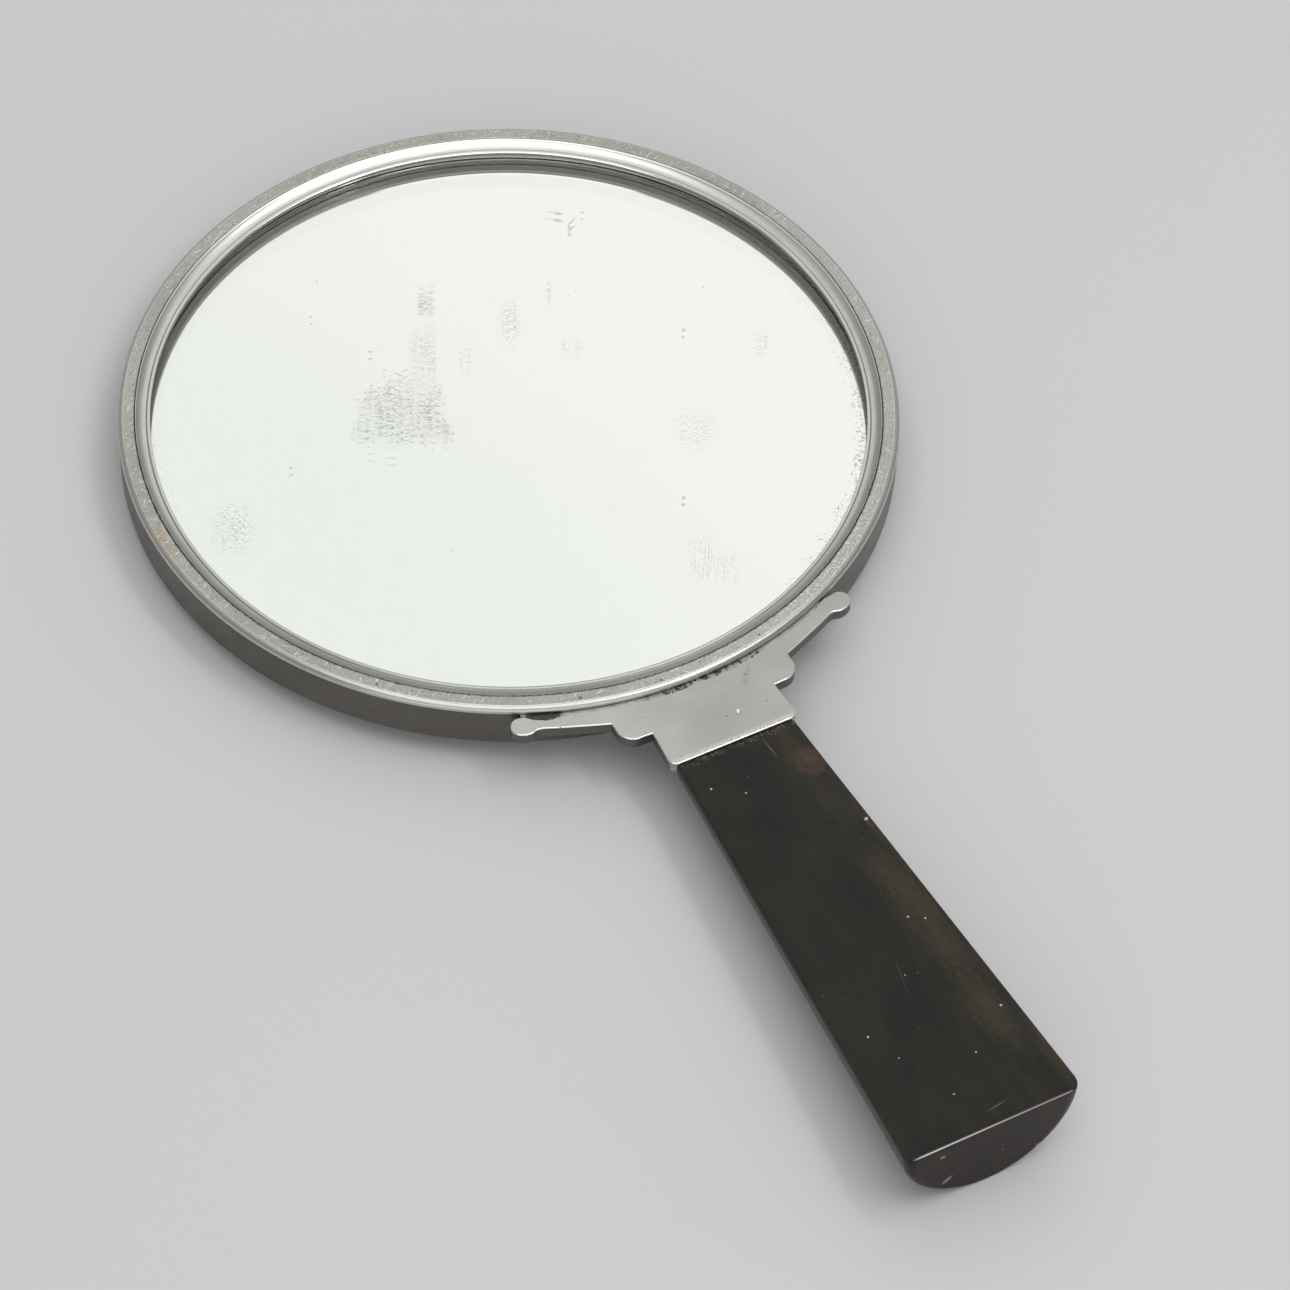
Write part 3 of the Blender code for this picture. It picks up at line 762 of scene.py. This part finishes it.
def arc(cx, cy, r, start, end, count):
    """Points on a circle from one angle to the other, in degrees."""
    turn = (math.radians(start + (end - start) * i / count) for i in range(count + 1))
    return [(cx + r * math.cos(a), cy + r * math.sin(a)) for a in turn]


def curve_through(points, steps):
    """A smooth line (Catmull-Rom) through the points."""
    out = []
    n = len(points)
    for i in range(n - 1):
        p0, p1 = points[max(i - 1, 0)], points[i]
        p2, p3 = points[i + 1], points[min(i + 2, n - 1)]
        for k in range(steps):
            t = k / steps
            out.append(
                tuple(
                    0.5
                    * (
                        2 * b
                        + (c - a) * t
                        + (2 * a - 5 * b + 4 * c - d) * t * t
                        + (3 * b - a - 3 * c + d) * t * t * t
                    )
                    for a, b, c, d in zip(p0, p1, p2, p3)
                )
            )
    out.append(tuple(points[-1]))
    return out


def n3(x, y, z):
    return noise.noise(Vector((x, y, z)))


def hoop_waver(r, z, a):
    """Hand-turned and knocked about: the land's edges and the bead are never quite true."""
    if z < 8.2:
        return (-0.02 - 0.02 * n3(9 * math.cos(a), 9 * math.sin(a), 0.1 * z), 0.0)
    c, s = 40 * math.cos(a), 40 * math.sin(a)
    small = n3(c * 1.4, s * 1.4, r * 2.0)
    if r < 67.9:
        return (0.015 * abs(small), -0.04 * abs(n3(c * 2, s * 2, 5.0)))
    return (-0.018 - 0.018 * small, -0.03 - 0.02 * n3(c, s, 3.0 + r))


def bezel_waver(r, z, a):
    """Rolled tight against the hoop at the far side, a little short of it at the near side."""
    far = max(0.0, math.cos(a - math.radians(62.8)) + 0.35)
    return (
        0.055 + 0.07 * min(1.0, far) if r > 67.3 and z > 9.0 else 0.0,
        0.012 * n3(30 * math.cos(a), 30 * math.sin(a), r),
    )


hoop = turned(
    "frame_hoop_turned",
    [(67.6, 9.45), (67.66, 9.6), (67.8, 9.69)]
    + [(68.2, 9.7), (68.8, 9.7), (69.4, 9.7), (69.68, 9.7)]
    + arc(69.76, 9.60, 0.10, 80, 10, 5)
    + [(69.93, 9.50), (70.02, 9.46), (70.12, 9.45), (70.24, 9.40), (70.34, 9.32)]
    + [(70.40, 9.24), (70.46, 9.20), (70.54, 9.12), (70.62, 9.0), (70.68, 8.86)]
    + [(70.71, 8.72), (70.72, 8.6), (70.71, 8.5), (70.66, 8.40)]
    + [(70.65, 8.2), (70.65, 6.5), (70.65, 4.5), (70.65, 2.5), (70.65, 1.25)]
    + arc(69.65, 1.0, 1.0, 0, -90, 8)[1:]
    + [(69.0, 0.0), (68.35, 0.0)]
    + arc(68.3, 0.7, 0.7, -90, -180, 4)[1:]
    + [(67.6, 2.0), (67.6, 5.0), (67.6, 7.4)],
    hoop_material(),
    waver=hoop_waver,
)

bezel = turned(
    "bezel_ring_turned",
    [(64.88, 7.62), (64.85, 7.72), (64.865, 8.0), (64.87, 8.26), (64.87, 8.31)]
    + [(64.858, 8.36), (64.812, 8.58), (64.80, 8.65), (64.84, 8.70)]
    + [(64.94, 8.735), (65.04, 8.765), (65.14, 8.78), (65.24, 8.78), (65.34, 8.75)]
    + [(65.4, 8.66), (65.45, 8.56), (65.5, 8.53), (65.56, 8.55)]
    + curve_through(
        [(65.62, 8.62), (66.0, 8.74), (66.4, 8.89), (66.75, 9.06), (67.0, 9.20), (67.2, 9.36)],
        4,
    )
    + [(67.28, 9.44), (67.34, 9.50), (67.41, 9.52), (67.45, 9.48), (67.4, 7.62)],
    bezel_material(),
    waver=bezel_waver,
)

glass = turned(
    "mirror_glass_plate",
    [(0.0, 7.5), (30.0, 7.5), (55.0, 7.5), (65.7, 7.5)]
    + [(65.9, 7.5), (66.12, 7.4), (66.2, 7.2), (66.2, 4.3), (66.12, 4.1), (65.9, 4.0)]
    + [(55.0, 4.0), (30.0, 4.0), (0.0, 4.0)],
    glass_material(),
    ring=False,
)

silver = turned(
    "silver_coating_film",
    [(0.0, 3.985), (40.0, 3.985), (65.95, 3.985), (66.1, 3.95), (66.1, 3.75), (66.0, 3.7)]
    + [(40.0, 3.7), (0.0, 3.7)],
    silver_material(),
    ring=False,
)

back_plate = turned(
    "back_plate_turned",
    [(0.0, 1.9), (40.0, 1.9), (67.0, 1.9), (67.25, 1.8), (67.3, 1.6), (67.3, 0.55)]
    + arc(67.05, 0.55, 0.25, 0, -90, 4)[1:]
    + [(66.0, 0.3), (63.5, 0.3)]
    + [(63.36, 0.33), (63.2, 0.44), (63.0, 0.56), (62.75, 0.6), (62.25, 0.6), (62.0, 0.56)]
    + [(61.8, 0.44), (61.64, 0.33), (61.5, 0.3), (50.0, 0.3), (30.0, 0.3), (12.0, 0.3)]
    + [(0.0, 0.3)],
    back_material(),
    ring=False,
)


def bake(obj):
    """The object's mesh with its modifiers applied, in place of the modifiers."""
    graph = bpy.context.evaluated_depsgraph_get()
    graph.update()
    mesh = bpy.data.meshes.new_from_object(obj.evaluated_get(graph))
    obj.modifiers.clear()
    obj.data = mesh
    return obj


def yoke_half():
    """Right half of the yoke's outline, from the inner arc round to the neck's end."""
    right = arc(0.0, 0.0, 70.98, -90.0, -65.4, 40)
    right += arc(31.4, -66.2, 1.95, 116.0, -74.0, 26)
    right += curve_through(
        [(31.7, -68.25), (30.9, -68.4), (30.2, -68.42)]
        + [
            (
                (73.95 + 0.8 * t * t) * math.cos(math.radians(-67.2 - 9.3 * t)),
                (73.95 + 0.8 * t * t) * math.sin(math.radians(-67.2 - 9.3 * t)),
            )
            for t in (0.0, 0.25, 0.5, 0.75, 1.0)
        ],
        5,
    )
    right += [(17.32, -72.95)]
    right += arc(14.15, -74.5, 3.2, 6.0, -97.0, 22)
    right += [(12.02, -77.75), (12.1, -79.5), (12.25, -82.0)]
    right += arc(10.8, -84.0, 1.6, 0.0, -90.0, 10)
    return right


def yoke_mesh(mat):
    right = yoke_half()
    left = [(-x, y) for x, y in reversed(right) if x > 1e-6]
    outline = [p for p in right + left]
    bm = bmesh.new()
    low, high = 5.95, 8.35
    face = bm.faces.new([bm.verts.new((x, y, low)) for x, y in outline])
    up = bmesh.ops.extrude_face_region(bm, geom=[face])
    moved = [v for v in up["geom"] if isinstance(v, bmesh.types.BMVert)]
    bmesh.ops.translate(bm, vec=(0.0, 0.0, high - low), verts=moved)
    bmesh.ops.recalc_face_normals(bm, faces=bm.faces)
    rims = [
        e
        for e in bm.edges
        if all(abs(v.co.z - high) < 1e-6 for v in e.verts)
        or all(abs(v.co.z - low) < 1e-6 for v in e.verts)
    ]
    inner = [e for e in rims if all(v.co.xy.length < 71.0 for v in e.verts)]
    outer = [e for e in rims if e not in inner]
    bmesh.ops.bevel(
        bm, geom=outer, offset=0.26, segments=5, profile=0.5, affect="EDGES", clamp_overlap=True
    )
    plate = finish_object("yoke_cast", bm, mat, weighted=False)

    def helper(name, made):
        bmesh.ops.recalc_face_normals(made, faces=made.faces)
        mesh = bpy.data.meshes.new(name)
        made.to_mesh(mesh)
        made.free()
        mesh.transform(REST @ Matrix.Scale(MM, 4))
        obj = bpy.data.objects.new(name, mesh)
        scene.collection.objects.link(obj)
        return obj

    boss = bmesh.new()
    lie = Matrix.Translation((0.0, -77.55, 0.0)) @ Matrix.Rotation(
        math.radians(90.0), 4, "X"
    )
    bmesh.ops.create_cone(
        boss, cap_ends=True, segments=96, radius1=7.85, radius2=10.9, depth=16.1, matrix=lie
    )
    bmesh.ops.bisect_plane(
        boss,
        geom=boss.verts[:] + boss.edges[:] + boss.faces[:],
        plane_co=(0.0, 0.0, 0.0),
        plane_no=(0.0, 0.0, 1.0),
        clear_outer=True,
    )
    bmesh.ops.holes_fill(boss, edges=[e for e in boss.edges if e.is_boundary])
    bmesh.ops.scale(boss, vec=(1.0, 1.0, 0.97), verts=boss.verts)
    bmesh.ops.translate(boss, vec=(0.0, 0.0, 7.75), verts=boss.verts)
    boss = helper("yoke_boss_tool", boss)
    room = bmesh.new()
    bmesh.ops.create_cone(
        room, cap_ends=True, segments=360, radius1=70.98, radius2=70.98, depth=60.0
    )
    room = helper("hoop_room_tool", room)
    tang = bmesh.new()
    bmesh.ops.create_cone(
        tang,
        cap_ends=True,
        segments=48,
        radius1=2.7,
        radius2=2.7,
        depth=17.3,
        matrix=Matrix.Translation((0.0, -86.35, 2.0))
        @ Matrix.Rotation(math.radians(90.0), 4, "X"),
    )
    tang = helper("tang_room_tool", tang)
    cut = boss.modifiers.new("room", "BOOLEAN")
    cut.operation, cut.solver, cut.object = "DIFFERENCE", "EXACT", room
    bake(boss)
    for other, operation in ((boss, "UNION"), (tang, "DIFFERENCE")):
        cut = plate.modifiers.new(other.name, "BOOLEAN")
        cut.operation, cut.solver, cut.object = operation, "EXACT", other
    bake(plate)
    for tool in (boss, room, tang):
        bpy.data.objects.remove(tool, do_unlink=True)
    mesh = plate.data
    mesh.shade_smooth()
    mesh.set_sharp_from_angle(angle=math.radians(28.0))
    made = plate.modifiers.new("normals", "WEIGHTED_NORMAL")
    made.keep_sharp, made.weight = True, 90
    return plate


yoke = yoke_mesh(yoke_material())
solder_mat = solder_material()


def solder_seam(side, name):
    """An uneven fillet under the arm, and a low run of solder in the gap above it."""
    bm = bmesh.new()
    loops = []
    steps = 110
    x0, x1 = 9.4, 28.5
    for i in range(steps + 1):
        t = i / steps
        x = x0 + (x1 - x0) * t
        a = -math.acos(x / 71.4)
        taper = min(1.0, 9 * t + 0.12, 9 * (1 - t) + 0.12)
        k = 1.0 + 0.28 * n3(x * 0.9, side * 3.0, 0.0) + 0.12 * n3(x * 3.0, side * 3.0, 4.0)
        wide, deep = 1.45 * taper * k, 1.5 * taper * k
        top = 5.72
        ring = []
        for s in range(9):
            q = math.radians(90.0 * s / 8)
            # concave face from the yoke's underside to the hoop's wall
            r = 70.78 + wide * (1 - math.sin(q)) + 0.05
            z = top - deep * (1 - math.cos(q)) - 0.02
            ring.append((r + 0.05 * n3(x * 2, r * 2, z * 2), z))
        ring += [(70.72, top - deep), (70.72, top)]
        loops.append(
            [bm.verts.new((side * r * math.cos(a), r * math.sin(a), z)) for r, z in ring]
        )
    for a, b in zip(loops, loops[1:]):
        for i in range(len(a)):
            j = (i + 1) % len(a)
            bm.faces.new((a[i], a[j], b[j], b[i]))
    bm.faces.new(loops[0])
    bm.faces.new(list(reversed(loops[-1])))
    # the run above, between the bead and the yoke's inner edge
    loops = []
    start, end = (0.2, 30.6) if side < 0 else (0.2, 28.0)
    steps = 240
    for i in range(steps + 1):
        t = i / steps
        x = start + (end - start) * t
        a = -math.acos(x / 71.2)
        blob = 0.0
        if side < 0:
            blob = max(0.0, 1 - abs(x - 26.6) / 3.9) ** 0.5
            blob = max(blob, 0.34 * max(0.0, 1 - abs(x - 4.0) / 7.0) ** 0.5)
        else:
            blob = 0.42 * max(0.0, 1 - abs(x - 7.5) / 7.5) ** 0.5
        taper = min(1.0, 14 * t + 0.1, 14 * (1 - t) + 0.1)
        k = 0.5 + 0.5 * n3(x * 1.1, side * 5.0, 2.0)
        fine = n3(x * 3.7, side * 2.0, 6.0)
        out = (0.10 + 0.16 * k + 0.85 * blob * (0.75 + 0.5 * k)) * taper + 0.08 * fine * (0.3 + blob)
        lift = (0.05 + 0.08 * k + 0.16 * blob) * taper
        base = 8.02
        outer = 71.2 + max(out, 0.03)
        ring = [
            (70.73, base - 0.5),
            (70.73, 8.36),
            (70.85, 8.35 + lift * 0.3),
            (71.05, 8.34 + lift * 0.7),
            (71.2 + (outer - 71.2) * 0.5, 8.33 + lift * 0.8 + 0.03 * fine),
            (outer, 8.34 + 0.01),
            (outer - 0.01, 8.25),
            (71.1, base - 0.5),
        ]
        loops.append(
            [bm.verts.new((side * r * math.cos(a), r * math.sin(a), z)) for r, z in ring]
        )
    for a, b in zip(loops, loops[1:]):
        for i in range(len(a)):
            j = (i + 1) % len(a)
            bm.faces.new((a[i], a[j], b[j], b[i]))
    bm.faces.new(loops[0])
    bm.faces.new(list(reversed(loops[-1])))
    return finish_object(name, bm, solder_mat, smooth=50.0, weighted=False)


seam_left = solder_seam(-1, "solder_seam_left_fillet")
seam_right = solder_seam(1, "solder_seam_right_fillet")


def handle_mesh(mat):
    """The half-round handle: flat top, rounded edges all round, a bore for the tang."""
    y0, y1, top, edge, depth = -85.68, -173.77, 7.896, 0.7, 0.955

    def section(half, inset, where):
        w = half - inset
        high = top - inset
        low = top - half * depth + inset
        e = max(edge - inset, 0.06)
        points = [(w * s * 0.25, high) for s in (0, 1, 2, 3)]
        points += arc(w - e, high - e, e, 90.0, 0.0, 8)
        for i in range(1, 40):
            a = math.radians(-90.0 * i / 40)
            points.append((w * math.cos(a), high - e + (high - e - low) * math.sin(a)))
        left = [(-x, h) for x, h in reversed(points) if x > 1e-6]
        ring = points + [(0.0, low)] + left
        made = []
        for x, h in ring:
            # polished by hand: the flat and the belly are very slightly uneven
            soft = 0.02 * n3(x * 0.12, where * 0.05, 1.0) - 0.02
            made.append((x * (1 - 0.0008), h + (soft if h > high - 0.5 else -soft)))
        return made

    length = y0 - y1
    ends = [
        (0.5 * (1 - math.sin(math.radians(a))), 0.5 * (1 - math.cos(math.radians(a))))
        for a in (0, 10, 20, 30, 40, 50, 60, 70, 80, 90)
    ]
    along = [(back * 0.3, inset * 0.3) for inset, back in ends]
    along += [(length * t, 0.0) for t in [i / 24 for i in range(1, 24)]]
    along += [(length - d, 0.0) for d in (2.5, 2.0, 1.6, 1.3, 1.05, 0.85)]
    along += [(length - back, inset) for inset, back in reversed(ends)]

    def corner(radius, d):
        """How much a corner rounded in plan takes off the half width, d from the end."""
        if d >= radius:
            return 0.0
        return radius - math.sqrt(radius * radius - (radius - d) ** 2)

    bm = bmesh.new()
    loops = []
    for back, inset in along:
        half = 11.5 + 5.15 * max(0.0, back - 0.22) / (length - 0.22)
        right = 1.0 - corner(2.6, length - back) / half
        left = 1.0 - corner(1.6, length - back) / half
        loops.append(
            [
                bm.verts.new((x * (right if x > 0.0 else left), y0 - back, h))
                for x, h in section(half, inset, back)
            ]
        )
    for a, b in zip(loops, loops[1:]):
        for i in range(len(a)):
            j = (i + 1) % len(a)
            bm.faces.new((a[i], a[j], b[j], b[i]))
    bm.faces.new(loops[0])
    bm.faces.new(list(reversed(loops[-1])))
    obj = finish_object("handle_horn", bm, mat, weighted=False)
    bore = bmesh.new()
    bmesh.ops.create_cone(
        bore,
        cap_ends=True,
        segments=64,
        radius1=3.8,
        radius2=3.8,
        depth=58.0,
        matrix=Matrix.Translation((0.0, -109.0, 2.0))
        @ Matrix.Rotation(math.radians(90.0), 4, "X"),
    )
    mesh = bpy.data.meshes.new("handle_bore_tool")
    bore.to_mesh(mesh)
    bore.free()
    mesh.transform(REST @ Matrix.Scale(MM, 4))
    tool = bpy.data.objects.new("handle_bore_tool", mesh)
    scene.collection.objects.link(tool)
    cut = obj.modifiers.new("bore", "BOOLEAN")
    cut.operation, cut.solver, cut.object = "DIFFERENCE", "EXACT", tool
    bake(obj)
    bpy.data.objects.remove(tool, do_unlink=True)
    obj.data.shade_smooth()
    obj.data.set_sharp_from_angle(angle=math.radians(28.0))
    made = obj.modifiers.new("normals", "WEIGHTED_NORMAL")
    made.keep_sharp, made.weight = True, 90
    return obj


handle = handle_mesh(horn_material())

for piece, node, slot in (
    (hoop, "frame_hoop", "pewter_hoop"),
    (bezel, "bezel_ring", "pewter_bezel"),
    (glass, "mirror_glass", "glass"),
    (silver, "silver_coating", "silvering"),
    (back_plate, "back_plate", "pewter_back"),
    (yoke, "yoke", "pewter_yoke"),
    (seam_left, "solder_seam_left", "solder"),
    (seam_right, "solder_seam_right", "solder"),
    (handle, "handle", "horn"),
):
    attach(piece, "root")
    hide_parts(node)

# ---------------------------------------------------------------- CAD nodes that stay
for node, mat in (
    ("glass_edge_strip", paper_material("edge_paper", (0.72, 0.69, 0.60), (0.80, 0.77, 0.68), 0.5)),
    ("backing_card", paper_material("backing_card_grey", (0.30, 0.24, 0.16), (0.40, 0.33, 0.23), 1.0)),
    ("felt_pad", felt_material()),
    ("tang", steel_material()),
    ("tang_cement", cement_material()),
):
    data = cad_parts[node].data
    data.materials.clear()
    data.materials.append(mat)

# ---------------------------------------------------------------- floor, light, camera
floor_graph = Graph("floor_pale")
tone = floor_graph.noise(floor_graph.p, 0.004, 2.0, 0.5)
floor_graph.set(
    Base_Color=floor_graph.mix(tone, (0.66, 0.66, 0.665), (0.69, 0.69, 0.69)),
    Roughness=0.85,
    Specular_IOR_Level=0.2,
)
bm = bmesh.new()
bmesh.ops.create_grid(bm, x_segments=8, y_segments=8, size=4.0)
mesh = bpy.data.meshes.new("floor")
bm.to_mesh(mesh)
bm.free()
mesh.materials.append(floor_graph.mat)
floor = bpy.data.objects.new("floor", mesh)
floor.location = (0.0, 0.0, -0.00002)
scene.collection.objects.link(floor)

world = bpy.data.worlds.new("studio")
world.use_nodes = True
world.node_tree.nodes["Background"].inputs["Color"].default_value = (0.97, 0.985, 1.0, 1.0)
world.node_tree.nodes["Background"].inputs["Strength"].default_value = 0.36
scene.world = world


def softbox(name, direction, distance, width, height, radiance, colour=(1.0, 1.0, 1.0), along=(0, 0, 1)):
    """A rectangular light that faces the mirror's middle. Its height lies near the direction along."""
    data = bpy.data.lights.new(name, "AREA")
    data.shape = "RECTANGLE"
    data.size, data.size_y = width, height
    data.color = colour
    data.energy = radiance * width * height * math.pi
    obj = bpy.data.objects.new(name, data)
    way = Vector(direction).normalized()
    target = REST @ Vector((0.0, -0.02, 0.008))
    tall = Vector(along)
    tall = (tall - way * tall.dot(way)).normalized()
    turn = Matrix((tall.cross(way), tall, way)).transposed()
    obj.matrix_world = Matrix.Translation(target + way * distance) @ turn.to_4x4()
    scene.collection.objects.link(obj)
    return obj


softbox("back_softbox", (0.313, 0.60, 0.75), 1.5, 1.5, 1.15, 0.615, (1.0, 1.0, 0.975))
softbox("key_softbox", (0.060, -0.188, 0.98), 1.6, 1.9, 1.4, 1.22, along=(0.457, 0.889, 0.0))
softbox("front_softbox", (-0.415, -0.806, 0.423), 1.6, 2.2, 1.0, 0.85, along=(0, 0, 1))
softbox("key_strip", (0.33, -0.27, 0.90), 1.55, 0.15, 0.95, 5.5, along=(0, -0.95, -0.3))


def aim(position, roll, elevation, azimuth):
    """A camera matrix in the hoop's frame, from its place and its angles in degrees."""
    e, r = math.radians(elevation), math.radians(roll)
    back = Vector((0.0, -math.cos(e), math.sin(e)))
    x, y = Vector((1.0, 0.0, 0.0)), Vector((0.0, math.sin(e), math.cos(e)))
    right = math.cos(r) * x + math.sin(r) * y
    up = -math.sin(r) * x + math.cos(r) * y
    turn = Matrix.Rotation(math.radians(azimuth), 3, "Z")
    right, up, back = turn @ right, turn @ up, turn @ back
    m = Matrix((right, up, back)).transposed().to_4x4()
    m.translation = Vector(position) * MM
    return m


lens = bpy.data.cameras.new("camera")
lens.sensor_width = 36.0
lens.lens = 139.53
lens.clip_start, lens.clip_end = 0.01, 50.0
camera = bpy.data.objects.new("camera", lens)
scene.collection.objects.link(camera)
camera.matrix_world = REST @ aim((-276.815, -538.148, 682.981), 2.23, 50.78, -29.70)
scene.camera = camera
